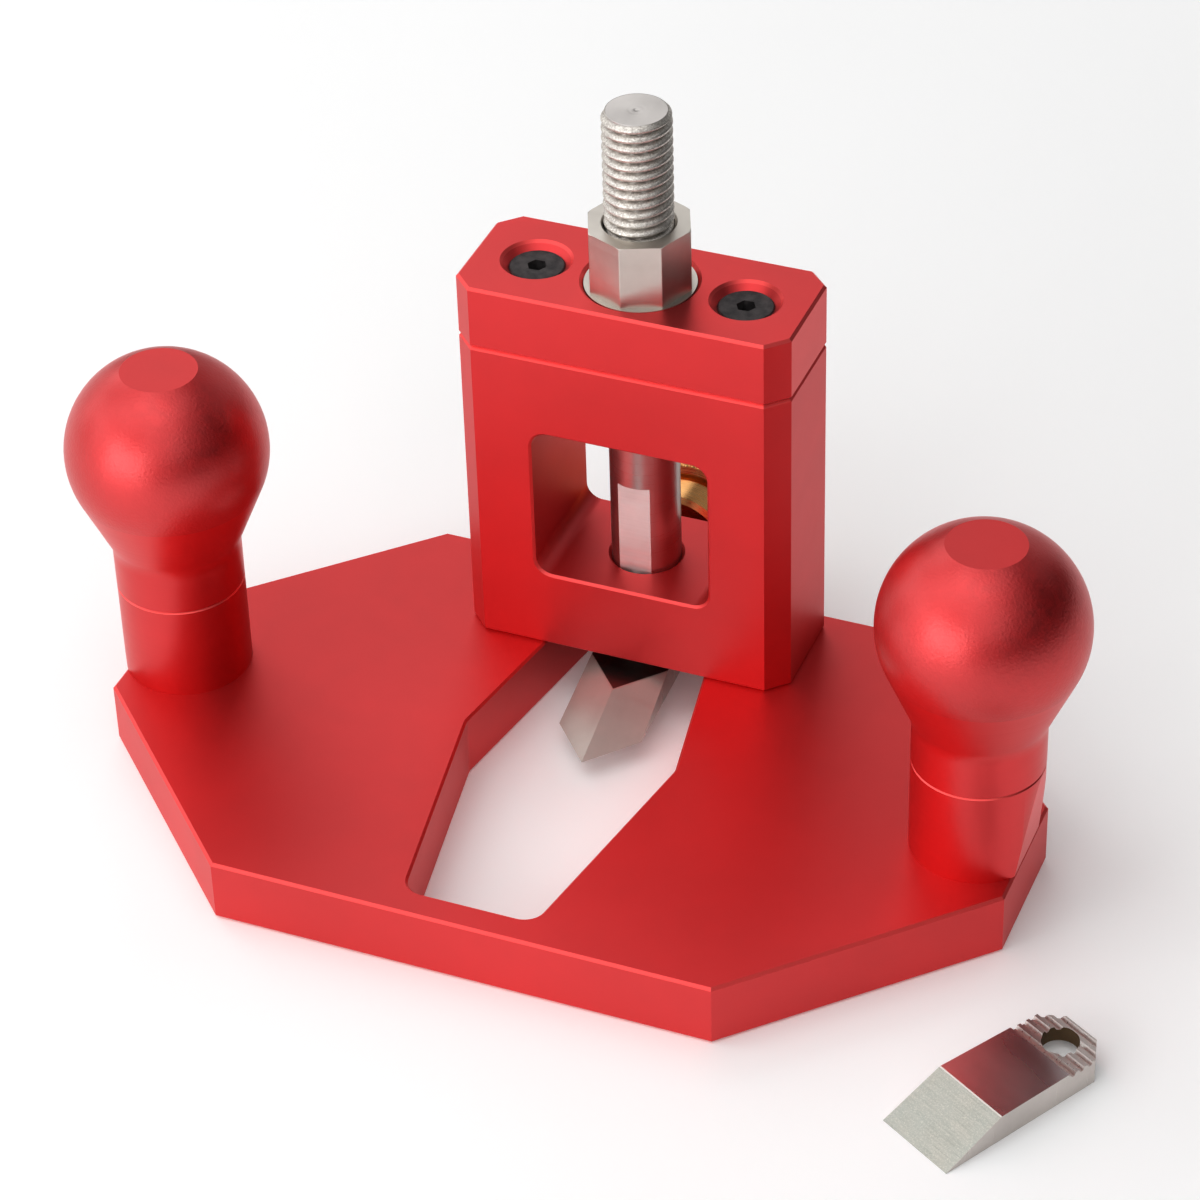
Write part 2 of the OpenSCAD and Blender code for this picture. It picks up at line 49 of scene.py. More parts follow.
# Sizes of the dressed pieces in millimetres, and the spare cutter's turn in radians
BROKEN_EDGE = 0.35
NUT_EDGE = 0.12
CREST = 0.12
KNOB = dict(
    neck_r=9.3, neck_h=7.0, blend=6.0, dip=0.06, ball_r=14.594, ball_h=22.4, top=13.5,
    ring=0.2, blast=6.5,
)
THREAD = dict(radius=4.95, pitch=1.5, depth=0.82, chamfer=0.62, length=39.7)
LOCK = dict(
    stem=3.0, collar=7.7, groove=7.0, head=9.0, chamfer=0.7, head_l=6.2, groove_l=0.8, collar_l=5.0,
    band_dip=0.5, knurl_depth=0.35, knurls=54, rim=2.4, dish=0.4,
)
M4_SCREW = {"Head radius": 4.0, "Shank radius": 1.98, "Socket": 2.5, "Socket depth": 1.6}
M5_SCREW = {"Head radius": 3.6, "Shank radius": 2.48, "Socket": 2.5, "Socket depth": 1.6}
M6_SCREW = {"Head radius": 6.0, "Shank radius": 2.98, "Socket": 4.0, "Socket depth": 2.4}
SPARE_TURN = math.radians(59.05 - 90)
SPARE_HOLE = (81.664, -59.566)
SPARE_HOLE_REACH = 3.2

# Least area of a cutter's bevel or of the post's flat, in square millimetres
BROAD_FACE = 20

# Order of a cutter's finishes
BEVEL, FLAT, MILLED, BRIGHT_EDGE, HOLE_WALL = range(5)

# Colours, linear
RED_DEEP = (0.64, 0.008, 0.011, 1)
RED = (0.74, 0.014, 0.018, 1)
# Paler red, painted on broken edges as a highlight and on faint specks as glints
RED_HIGHLIGHT = (0.92, 0.07, 0.065, 1)
BALL_RED_DEEP = (0.57, 0.010, 0.013, 1)
BALL_RED = (0.67, 0.018, 0.021, 1)

UP = (0, 0, 1)
BACKWARD = (0, 1, 0)
HEAD_DOWN = math.pi


def box_mm(node):
    """Lowest and highest corners of a solid, in millimetres."""
    low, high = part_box(node)
    return Vector(low) / MM, Vector(high) / MM


# Node trees


class Nodes:
    """A node tree and short ways to fill it."""

    def __init__(self, tree):
        self.tree = tree

    def plug(self, socket, value):
        if isinstance(value, bpy.types.NodeSocket):
            self.tree.links.new(value, socket)
        else:
            socket.default_value = value

    def add(self, kind, inputs=None, **settings):
        node = self.tree.nodes.new(kind)
        for label, value in settings.items():
            setattr(node, label, value)
        for label, value in (inputs or {}).items():
            self.plug(node.inputs[label], value)
        return node

    def sum(self, operation, a, b=0.0, c=0.0):
        """One arithmetic step on numbers or sockets."""
        return self.add("ShaderNodeMath", {0: a, 1: b, 2: c}, operation=operation).outputs[0]


class Finish(Nodes):
    """A procedural material: one shader and the nodes that feed it."""

    def __init__(self, name, color, roughness, metallic=1.0, **sockets):
        self.material = bpy.data.materials.new(name)
        self.material.use_nodes = True
        super().__init__(self.material.node_tree)
        self.shader = self.tree.nodes["Principled BSDF"]
        self.set("Base Color", color)
        self.set("Roughness", roughness)
        self.set("Metallic", metallic)
        self.set("Specular Tint", tuple(c ** 0.5 for c in color[:3]) + (1,))
        for label, value in sockets.items():
            self.set(label.replace("_", " "), value)
        self.place = self.add("ShaderNodeTexCoord").outputs["Object"]

    def set(self, label, value):
        self.plug(self.shader.inputs[label], value)

    def turned(self, stretch, turn=(0, 0, 0)):
        """Object coordinates, turned and then stretched."""
        spun = self.add("ShaderNodeMapping", {"Vector": self.place, "Rotation": turn})
        node = self.add("ShaderNodeMapping", {"Vector": spun.outputs[0], "Scale": stretch})
        return node.outputs[0]

    def noise(self, scale, detail=3.0, rough=0.5, where=None, warp=0.0):
        node = self.add("ShaderNodeTexNoise", {
            "Vector": where or self.place, "Scale": scale, "Detail": detail, "Roughness": rough,
            "Distortion": warp,
        })
        return node.outputs["Fac"]

    def between(self, value, low, high, start=0.35, finish=0.65):
        """Maps the middle of a pattern onto a range of values."""
        node = self.add("ShaderNodeMapRange", {
            "Value": value, "From Min": start, "From Max": finish, "To Min": low, "To Max": high,
        })
        return node.outputs["Result"]

    def mix(self, share, a, b):
        node = self.add("ShaderNodeMix", data_type="RGBA")
        self.plug(node.inputs["Factor"], share)
        self.plug(node.inputs[6], a)
        self.plug(node.inputs[7], b)
        return node.outputs[2]

    def bump(self, height, depth, strength, over=None):
        """Fine relief as deep as the given millimetres, laid over another where there is one."""
        inputs = {"Height": height, "Distance": depth * MM, "Strength": strength}
        node = self.add("ShaderNodeBump", inputs)
        if over:
            self.plug(node.inputs["Normal"], over)
        return node.outputs["Normal"]

    def attribute(self, name):
        return self.add("ShaderNodeAttribute", attribute_name=name).outputs["Fac"]

    def spin(self, centre, spread):
        """Turned marks round an upright axis, or two mirrored ones, which spread the light along the axis."""
        spot = self.add("ShaderNodeSeparateXYZ", {0: self.place})
        side = self.sum("SIGN", spot.outputs["X"])
        off = self.sum("MULTIPLY_ADD", side, -centre[0] * MM, spot.outputs["X"])
        back = self.sum("SUBTRACT", centre[1] * MM, spot.outputs["Y"])
        around = self.add("ShaderNodeCombineXYZ", {"X": back, "Y": off})
        unit = self.add("ShaderNodeVectorMath", {0: around.outputs[0]}, operation="NORMALIZE")
        self.set("Anisotropic", spread)
        self.set("Tangent", unit.outputs[0])


# Finishes


def red_finish(name, rough=(0.50, 0.58), clear=0.45):
    """Dyed anodised aluminium: a matt red metal under a smoother clear layer, with a painted highlight on its
    broken edges.
    """
    finish = Finish(name, RED, 0.5, Coat_Weight=1.0, Coat_Roughness=clear, Coat_IOR=1.6)
    cloud = finish.noise(28, 4, 0.55)
    body = finish.mix(finish.between(cloud, 0.1, 0.9), RED_DEEP, RED)
    # Faint pale specks mixed towards the highlight red: painted glints
    speck = finish.noise(2600, 2, 0.6)
    body = finish.mix(finish.between(speck, 0.0, 0.05, 0.64, 0.74), body, RED_HIGHLIGHT)
    # Painted highlight: the marked edge strips are mixed towards the paler red
    finish.set("Base Color", finish.mix(finish.attribute("edge_highlight"), body, RED_HIGHLIGHT))
    haze = finish.noise(60, 5, 0.6)
    finish.set("Roughness", finish.between(haze, rough[0], rough[1]))
    finish.set("Normal", finish.bump(finish.noise(5200, 2, 0.5), 0.012, 0.5))
    return finish.material


def red_blasted():
    """Bead-blasted ball: the same dye over fine round dimples."""
    finish = Finish("red_blasted_ball", RED, 0.5, Coat_Weight=1.0, Coat_Roughness=0.36, Coat_IOR=1.64)
    cloud = finish.noise(35, 3, 0.5)
    finish.set("Base Color", finish.mix(finish.between(cloud, 0.2, 0.9), BALL_RED_DEEP, BALL_RED))
    finish.set("Roughness", finish.between(finish.noise(900, 3, 0.5), 0.44, 0.52))
    dimples = finish.bump(finish.noise(2600, 2, 0.45), 0.045, 0.8)
    finish.set("Normal", dimples)
    finish.set("Coat Normal", dimples)
    return finish.material


def red_turned(centre):
    """Turned neck and riser: fine rings round the knob's axis, which spread the light upright."""
    finish = Finish("red_turned_neck", RED, 0.42, Coat_Weight=1.0, Coat_Roughness=0.36, Coat_IOR=1.6)
    rings = finish.noise(9, 3, 0.5, finish.turned((1, 1, 900)))
    cloud = finish.noise(40, 3, 0.5)
    body = finish.mix(finish.between(cloud, 0.1, 0.9), RED_DEEP, RED)
    # Painted highlight: marked edge bands are mixed towards the paler red
    finish.set("Base Color", finish.mix(finish.attribute("edge_highlight"), body, RED_HIGHLIGHT))
    finish.set("Roughness", finish.between(rings, 0.36, 0.46))
    finish.set("Normal", finish.bump(rings, 0.003, 0.5))
    finish.spin(centre, 0.2)
    return finish.material


def machined_steel(
    name, color, rough, lines, line_depth, stretch=(1, 1, 400), turn=(0, 0, 0), spread=0.0, metallic=1.0,
):
    """Bright steel with fine machining lines and faint handling marks.

    Lines is how dense they are, and stretch draws them out along the axes. Spread fans the light upright."""
    finish = Finish(name, color, rough, metallic)
    if spread:
        finish.spin((0, 0), spread)
    marks = finish.noise(lines, 4, 0.55, finish.turned(stretch, turn))
    smear = finish.noise(90, 4, 0.6, warp=0.4)
    dark = tuple(0.82 * c for c in color[:3]) + (1,)
    finish.set("Base Color", finish.mix(finish.between(smear, 0.0, 0.7), color, dark))
    finish.set("Roughness", finish.between(marks, rough * 0.9, rough * 1.15))
    finish.set("Normal", finish.bump(marks, line_depth, 0.5))
    return finish.material


def thread_steel():
    """Cut thread: torn, sparkling flanks and crests, and painted shade in the dark roots."""
    finish = Finish("thread_steel", (0.8, 0.77, 0.73, 1), 0.42)
    root = finish.attribute("root")
    tear = finish.noise(3200, 4, 0.7, finish.turned((1, 1, 1.6)))
    bright = finish.mix(finish.between(tear, 0.0, 1.0), (0.82, 0.79, 0.74, 1), (0.44, 0.40, 0.37, 1))
    # Painted shade: the roots are darkened towards dark grey steel
    darker = finish.between(root, 0.0, 0.85, 0.45, 1.0)
    finish.set("Base Color", finish.mix(darker, bright, (0.30, 0.27, 0.25, 1)))
    finish.set("Roughness", finish.between(tear, 0.30, 0.55))
    finish.set("Normal", finish.bump(tear, 0.05, 0.9))
    return finish.material


def thread_shade():
    """Painted shade down in the nut's threaded bore: near-black steel, patchy at random."""
    finish = Finish("thread_shade", (0.05, 0.045, 0.04, 1), 0.45)
    shade_patches = finish.noise(500, 3, 0.5)
    deep_shade, soft_shade = (0.02, 0.018, 0.016, 1), (0.07, 0.06, 0.055, 1)
    finish.set("Base Color", finish.mix(finish.between(shade_patches, 0, 1), deep_shade, soft_shade))
    finish.set("Roughness", finish.between(shade_patches, 0.4, 0.55))
    finish.set("Normal", finish.bump(finish.noise(6, 1, 0.5, finish.turned((1, 1, 160))), 0.02, 0.5))
    return finish.material


def black_oxide():
    """Blackened steel screws, greyer where they are handled."""
    finish = Finish("black_oxide", (0.035, 0.034, 0.036, 1), 0.42, metallic=0.6)
    worn = finish.noise(700, 4, 0.6)
    black, grey = (0.045, 0.042, 0.043, 1), (0.11, 0.10, 0.10, 1)
    finish.set("Base Color", finish.mix(finish.between(worn, 0, 0.8), black, grey))
    finish.set("Roughness", finish.between(worn, 0.36, 0.5))
    finish.set("Normal", finish.bump(finish.noise(2500, 3, 0.5), 0.006, 0.5))
    return finish.material


def turned_brass(name, color, rough):
    """Turned brass: warm, with fine rings round its own axis."""
    finish = Finish(name, color, rough)
    rings = finish.noise(12, 3, 0.5, finish.turned((1, 1100, 1)))
    tarnish = finish.noise(160, 4, 0.6, warp=0.5)
    darker = (color[0] * 0.72, color[1] * 0.6, color[2] * 0.5, 1)
    finish.set("Base Color", finish.mix(finish.between(tarnish, 0.0, 0.75), color, darker))
    finish.set("Roughness", finish.between(rings, rough * 0.85, rough * 1.2))
    finish.set("Normal", finish.bump(rings, 0.0003, 0.5))
    return finish.material


def ground_bevel(name, turn):
    """Ground bevel: matt grey with short grinding lines along the edge and pale specks painted as glints."""
    finish = Finish(name, (0.6, 0.59, 0.54, 1), 0.42)
    lines = finish.noise(420, 5, 0.65, finish.turned((0.5, 9, 9), (0, 0, turn)))
    speck = finish.noise(5200, 3, 0.7)
    cloud = finish.noise(160, 4, 0.6)
    body = finish.mix(finish.between(lines, 0, 1), (0.38, 0.38, 0.34, 1), (0.52, 0.51, 0.46, 1))
    body = finish.mix(finish.between(cloud, 0, 0.5), body, (0.42, 0.45, 0.42, 1))
    glints = finish.between(speck, 0, 0.6, 0.5, 0.72)
    finish.set("Base Color", finish.mix(glints, body, (0.74, 0.72, 0.64, 1)))
    finish.set("Roughness", finish.between(lines, 0.38, 0.5))
    finish.set("Normal", finish.bump(lines, 0.006, 0.6, finish.bump(speck, 0.004, 0.5)))
    return finish.material


def pale_floor():
    """Matt white floor with a faint glow, so that it stays pale in the shade."""
    finish = Finish("pale_floor", (0.9, 0.9, 0.9, 1), 0.6, metallic=0)
    tone = finish.noise(3, 3, 0.5)
    pale, paler = (0.94, 0.94, 0.94, 1), (0.96, 0.96, 0.96, 1)
    finish.set("Base Color", finish.mix(finish.between(tone, 0, 1), pale, paler))
    finish.set("Roughness", finish.between(tone, 0.6, 0.7))
    finish.set("Normal", finish.bump(finish.noise(300, 2, 0.5), 0.01, 0.1))
    finish.set("Emission Color", (1, 1, 1, 1))
    finish.set("Emission Strength", FLOOR_GLOW)
    finish.material.cycles.emission_sampling = "NONE"
    return finish.material


# Mesh helpers


def show(name, mesh):
    """Puts a mesh into the scene."""
    piece = bpy.data.objects.new(name, mesh)
    bpy.context.scene.collection.objects.link(piece)
    return piece


def finish_mesh(bm, name, materials, sharp=30):
    """Turns an edit mesh into a piece with outward faces, smooth except at its sharp edges."""
    bmesh.ops.recalc_face_normals(bm, faces=bm.faces)
    mesh = bpy.data.meshes.new(name)
    bm.to_mesh(mesh)
    bm.free()
    if "custom_normal" in mesh.attributes:
        mesh.attributes.remove(mesh.attributes["custom_normal"])
    for material in materials:
        mesh.materials.append(material)
    mesh.shade_smooth()
    mesh.set_sharp_from_angle(angle=math.radians(sharp))
    return show(name, mesh)


def settle_normals(piece):
    """Keeps broad faces flat next to narrow ones, with the modifier baked into the mesh."""
    modifier = piece.modifiers.new("flat_faces", "WEIGHTED_NORMAL")
    modifier.keep_sharp = True
    freeze(piece)


def freeze(piece):
    """Bakes the modifiers of a piece into a plain mesh."""
    graph = bpy.context.evaluated_depsgraph_get()
    finished = piece.evaluated_get(graph)
    mesh = bpy.data.meshes.new_from_object(finished, preserve_all_data_layers=True, depsgraph=graph)
    piece.modifiers.clear()
    piece.data = mesh


def node_copy(node):
    """A merged copy of a solid's mesh, with its flat faces made whole."""
    bm = bmesh.new()
    bm.from_mesh(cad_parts[node].data)
    bmesh.ops.remove_doubles(bm, verts=bm.verts, dist=0.0005 * MM)
    bmesh.ops.dissolve_limit(bm, angle_limit=math.radians(0.3), verts=bm.verts, edges=bm.edges)
    return bm


def on_plane(edge, axis, height, slack=0.01):
    """Whether an edge lies in the plane across an axis at a height in millimetres."""
    return all(abs(v.co[axis] / MM - height) < slack for v in edge.verts)


def break_edges(bm, planes, width, least=60):
    """Breaks the square edges that lie on any of the planes, each an axis and a height in millimetres."""
    edges = [
        e for e in bm.edges
        if e.is_manifold and e.calc_face_angle(0) > math.radians(least)
        and any(on_plane(e, axis, height) for axis, height in planes)
    ]
    bmesh.ops.bevel(
        bm, geom=edges, offset=width * MM, offset_type="OFFSET", segments=1, profile=0.5,
        affect="EDGES", clamp_overlap=False, loop_slide=True, miter_outer="SHARP",
    )


def break_upright_edges(bm, width, least):
    """Breaks the upright edges between flats."""
    edges = [
        e for e in bm.edges
        if e.is_manifold and e.calc_face_angle(0) > math.radians(least)
        and abs((e.verts[0].co - e.verts[1].co).normalized().z) > 0.99
    ]
    bmesh.ops.bevel(
        bm, geom=edges, offset=width * MM, offset_type="OFFSET", segments=1,
        affect="EDGES", clamp_overlap=True,
    )


def mark_edge_highlights(bm, planes, widest=0.5, share=0.6):
    """Marks the slanting strips along the planes, which the finish paints paler as a highlight."""
    layer = bm.faces.layers.float.new("edge_highlight")
    bm.normal_update()
    for face in bm.faces:
        for axis, height in planes:
            reach = [abs(v.co[axis] / MM - height) for v in face.verts]
            slants = max(reach) - min(reach) > 0.1 and 0.4 < abs(face.normal[axis]) < 0.95
            if slants and max(reach) < widest:
                face[layer] = share


def turned_mesh(profile, foot, axis, steps, pick, broken=()):
    """Turns a profile of (radius, height) points in millimetres round an axis that starts at foot.

    Pick gives the material of a height, and broken lists the bands that are broken edges, marked for a
    painted highlight."""
    upright = Vector(axis).normalized()
    side = upright.orthogonal().normalized()
    across = upright.cross(side)
    bm = bmesh.new()
    highlight_mark = bm.faces.layers.float.new("edge_highlight")
    spokes = [side * math.cos(TAU * i / steps) + across * math.sin(TAU * i / steps) for i in range(steps)]
    rings = []
    for radius, height in profile:
        centre = Vector(foot) + upright * height
        if radius < 0.001:
            rings.append([bm.verts.new(centre * MM)] * steps)
        else:
            rings.append([bm.verts.new((centre + spoke * radius) * MM) for spoke in spokes])
    for j in range(len(profile) - 1):
        middle = (profile[j][1] + profile[j + 1][1]) / 2
        for i in range(steps):
            k = (i + 1) % steps
            corners = [rings[j][i], rings[j][k], rings[j + 1][k], rings[j + 1][i]]
            face = bm.faces.new(list(dict.fromkeys(corners)))
            face.material_index = pick(middle)
            face[highlight_mark] = 1.0 if j in broken else 0.0
    return bm


def turned_piece(name, profile, foot, axis, steps, pick, materials, sharp=30):
    return finish_mesh(turned_mesh(profile, foot, axis, steps, pick), name, materials, sharp)


# What grows from geometry nodes


class Grower(Nodes):
    """A geometry node tree with named inputs."""

    def __init__(self, name, sizes):
        super().__init__(bpy.data.node_groups.new(name, "GeometryNodeTree"))
        face = self.tree.interface
        face.new_socket("Geometry", in_out="INPUT", socket_type="NodeSocketGeometry")
        for label, value in sizes.items():
            kind = "NodeSocketInt" if isinstance(value, int) else "NodeSocketFloat"
            face.new_socket(label, in_out="INPUT", socket_type=kind).default_value = value
        face.new_socket("Finish", in_out="INPUT", socket_type="NodeSocketMaterial")
        face.new_socket("Geometry", in_out="OUTPUT", socket_type="NodeSocketGeometry")
        self.given = self.add("NodeGroupInput").outputs
        self.result = self.add("NodeGroupOutput")

    def end(self, shape):
        """Makes instances real and puts the finish on."""
        realised = self.add("GeometryNodeRealizeInstances", {"Geometry": shape})
        dressed = self.add("GeometryNodeSetMaterial", {
            "Geometry": realised.outputs[0], "Material": self.given["Finish"],
        })
        self.plug(self.result.inputs[0], dressed.outputs[0])

    def tube(self):
        """A grid to wrap round an axis, and each point's share of the turn and of the length."""
        grid = self.add("GeometryNodeMeshGrid", {
            "Size X": 1.0, "Size Y": 1.0,
            "Vertices X": self.sum("ADD", self.given["Around"], 1.0), "Vertices Y": self.given["Rows"],
        })
        spot = self.add("ShaderNodeSeparateXYZ", {0: self.add("GeometryNodeInputPosition").outputs[0]})
        share = self.sum("ADD", spot.outputs["X"], 0.5)
        along = self.sum("ADD", spot.outputs["Y"], 0.5)
        return grid.outputs["Mesh"], share, along

    def zigzag(self, wave):
        """A wave of whole steps made to fall from 1 to 0 and rise again within each step."""
        return self.sum("ABSOLUTE", self.sum("MULTIPLY_ADD", self.sum("FRACT", wave), 2.0, -1.0))

    def wrap(self, grid, cut, x, y, z):
        """Moves the grid's points to their places in millimetres and closes its seam."""
        place = self.add("ShaderNodeCombineXYZ", {"X": x, "Y": y, "Z": z})
        real = self.add("ShaderNodeVectorMath", {0: place.outputs[0], "Scale": MM}, operation="SCALE")
        marked = self.add("GeometryNodeStoreNamedAttribute", {
            "Geometry": grid, "Name": "root", "Value": cut,
        }, data_type="FLOAT", domain="POINT")
        wrapped = self.add("GeometryNodeSetPosition", {
            "Geometry": marked.outputs[0], "Position": real.outputs[0],
        })
        closed = self.add("GeometryNodeMergeByDistance", {
            "Geometry": wrapped.outputs[0], "Distance": 0.002 * MM,
        })
        self.end(closed.outputs[0])


def grow(name, grower, points, finish, sizes, sharp=30):
    """Runs a tree on a mesh of points and keeps the result as a plain mesh."""
    seed = bpy.data.meshes.new(name)
    seed.from_pydata([tuple(c * MM for c in p) for p in points], [], [])
    piece = show(name, seed)
    modifier = piece.modifiers.new(grower.tree.name, "NODES")
    modifier.node_group = grower.tree
    wanted = dict(sizes, Finish=finish)
    for item in grower.tree.interface.items_tree:
        if item.in_out == "INPUT" and item.name in wanted:
            modifier[item.identifier] = wanted[item.name]
    freeze(piece)
    piece.data.shade_smooth()
    piece.data.set_sharp_from_angle(angle=math.radians(sharp))
    return piece


def thread_tree():
    """Right-handed screw thread with a chamfered end, round the Z axis. Its ends lie inside the post."""
    tree = Grower("cut_thread", {
        "Radius": 5.0, "Depth": 0.9, "Pitch": 1.5, "Low": 0.0, "High": 40.0, "Chamfer": 0.6,
        "Around": 72, "Rows": 300,
    })
    given = tree.given
    grid, share, along = tree.tube()
    height = tree.sum("MULTIPLY_ADD", along, tree.sum("SUBTRACT", given["High"], given["Low"]), given["Low"])
    valley = tree.zigzag(tree.sum("SUBTRACT", tree.sum("DIVIDE", height, given["Pitch"]), share))
    flank_curve = 1.8
    cut = tree.sum("POWER", valley, flank_curve)
    ridged = tree.sum("SUBTRACT", given["Radius"], tree.sum("MULTIPLY", cut, given["Depth"]))
    drop = tree.sum("SUBTRACT", given["High"], height)
    slope = tree.sum("ADD", drop, tree.sum("SUBTRACT", given["Radius"], given["Chamfer"]))
    radius = tree.sum("MINIMUM", ridged, slope)
    turn = tree.sum("MULTIPLY", share, TAU)
    x = tree.sum("MULTIPLY", radius, tree.sum("COSINE", turn))
    y = tree.sum("MULTIPLY", radius, tree.sum("SINE", turn))
    tree.wrap(grid, cut, x, y, height)
    return tree


def knurl_tree():
    """Band of crossed knurling round the Y axis, shallow towards its rims."""
    tree = Grower("crossed_knurl", {
        "Radius": 9.0, "Depth": 0.3, "Count": 60, "Low": 0.0, "High": 5.0, "Axis height": 0.0,
        "Around": 360, "Rows": 40,
    })
    given = tree.given
    grid, share, along = tree.tube()
    length = tree.sum("SUBTRACT", given["High"], given["Low"])
    height = tree.sum("MULTIPLY_ADD", along, length, given["Low"])
    pitch = tree.sum("DIVIDE", tree.sum("MULTIPLY", given["Radius"], TAU), given["Count"])
    steps = tree.sum("DIVIDE", tree.sum("MULTIPLY", along, length), pitch)
    round_steps = tree.sum("MULTIPLY", share, given["Count"])
    grooves = [
        tree.sum("POWER", tree.zigzag(tree.sum(direction, round_steps, steps)), 2.0)
        for direction in ("ADD", "SUBTRACT")
    ]
    cut = tree.sum("MAXIMUM", *grooves)
    fade_rate = 12.0
    from_rim = tree.sum("MINIMUM", along, tree.sum("SUBTRACT", 1.0, along))
    fade = tree.sum("MINIMUM", tree.sum("MULTIPLY", from_rim, fade_rate), 1.0)
    depth = tree.sum("MULTIPLY", tree.sum("MULTIPLY", cut, given["Depth"]), fade)
    radius = tree.sum("SUBTRACT", given["Radius"], depth)
    turn = tree.sum("MULTIPLY", share, TAU)
    x = tree.sum("MULTIPLY", radius, tree.sum("SINE", turn))
    z = tree.sum("ADD", tree.sum("MULTIPLY", radius, tree.sum("COSINE", turn)), given["Axis height"])
    tree.wrap(grid, cut, x, height, z)
    return tree


def screw_tree():
    """Countersunk socket screws with their heads at the given points. Turn lays them head down."""
    tree = Grower("socket_screws", {
        "Head radius": 4.0, "Shank radius": 2.0, "Length": 16.0, "Socket": 2.5, "Socket depth": 1.8,
        "Turn": 0.0,
    })
    given = tree.given
    rim = 0.18
    tuck = 0.01
    head_r, shank_r = given["Head radius"], given["Shank radius"]

    def slice_of(low_r, high_r, depth, top, sides=72):
        """A cone or prism that ends at the top and goes down by the depth."""
        body = tree.add("GeometryNodeMeshCone", {
            "Vertices": sides, "Radius Top": tree.sum("MULTIPLY", high_r, MM),
            "Radius Bottom": tree.sum("MULTIPLY", low_r, MM), "Depth": tree.sum("MULTIPLY", depth, MM),
        })
        drop = tree.sum("MULTIPLY", tree.sum("SUBTRACT", top, depth), MM)
        shift = tree.add("ShaderNodeCombineXYZ", {"Z": drop})
        moved = tree.add("GeometryNodeTransform", {
            "Geometry": body.outputs["Mesh"], "Translation": shift.outputs[0],
        })
        return moved.outputs[0]

    crown = slice_of(head_r, tree.sum("SUBTRACT", head_r, rim), rim, 0.0)
    skirt = slice_of(shank_r, head_r, tree.sum("SUBTRACT", head_r, shank_r), -rim)
    shank = slice_of(shank_r, shank_r, given["Length"], -tuck)
    body = tree.add("GeometryNodeMeshBoolean", operation="UNION", solver="EXACT")
    for part in (crown, skirt, shank):
        tree.plug(body.inputs["Mesh 2"], part)
    socket_r = tree.sum("DIVIDE", given["Socket"], math.sqrt(3))
    proud = 1.0
    socket = slice_of(socket_r, socket_r, tree.sum("ADD", given["Socket depth"], proud), proud, 6)
    cut = tree.add("GeometryNodeMeshBoolean", {
        "Mesh 1": body.outputs["Mesh"], "Mesh 2": socket,
    }, operation="DIFFERENCE", solver="EXACT")
    turn = tree.add("ShaderNodeCombineXYZ", {"X": given["Turn"]})
    dots = tree.add("GeometryNodeMeshToPoints", {"Mesh": given["Geometry"]})
    placed = tree.add("GeometryNodeInstanceOnPoints", {
        "Points": dots.outputs[0], "Instance": cut.outputs["Mesh"], "Rotation": turn.outputs[0],
    })
    tree.end(placed.outputs[0])
    return tree


# Pieces of the tool


def one_finish(height):
    """The same finish at every height."""
    return 0


def dress_red(node, name, material, axis, broken=True):
    """A milled red block. Broken says whether its edges on the two faces across the axis are broken here."""
    bm = node_copy(node)
    low, high = box_mm(node)
    planes = [(axis, low[axis]), (axis, high[axis])]
    if broken:
        break_edges(bm, planes, BROKEN_EDGE)
    # Marks the edge strips that take the painted highlight
    mark_edge_highlights(bm, planes + [(2, low.z), (2, high.z)])
    piece = finish_mesh(bm, name, [material])
    settle_normals(piece)
    return piece


def dress_nut(steel, shade):
    """The nut, with painted shade in its threaded bore."""
    bm = node_copy("adjusting_nut")
    break_upright_edges(bm, NUT_EDGE, 30)
    # The bore's faces take the painted shade finish
    bore_reach = THREAD["radius"] + 0.2
    for face in bm.faces:
        if max(math.hypot(v.co.x, v.co.y) for v in face.verts) / MM < bore_reach:
            face.material_index = 1
    piece = finish_mesh(bm, "nut_body", [steel, shade])
    settle_normals(piece)
    return piece


def make_riser(side, material):
    """Round riser with a flat that leans out from the plate's edge to the ring."""
    low, high = box_mm(f"riser_{side}")
    middle = (low + high) / 2
    sign = 1 if middle.x > 0 else -1
    radius = (high.x - low.x) / 2
    ring = KNOB["ring"]
    height = high.z - low.z
    edge = box_mm("base_plate")[1].x
    profile = [(0, 0), (radius, 0), (radius, height - ring), (radius - ring, height), (0, height)]
    # Band 2, the ring's chamfer, is marked for a painted highlight
    bm = turned_mesh(profile, (middle.x, middle.y, low.z), UP, 160, one_finish, (2,))
    lean = Vector((sign * height, 0, edge - max(abs(low.x), abs(high.x)))).normalized()
    parts = bm.verts[:] + bm.edges[:] + bm.faces[:]
    foot = Vector((sign * edge, 0, low.z)) * MM
    cut = bmesh.ops.bisect_plane(bm, geom=parts, plane_co=foot, plane_no=lean, clear_outer=True)
    rim = [e for e in cut["geom_cut"] if isinstance(e, bmesh.types.BMEdge)]
    bmesh.ops.contextual_create(bm, geom=rim)
    return finish_mesh(bm, f"riser_{side}_turned", [material])


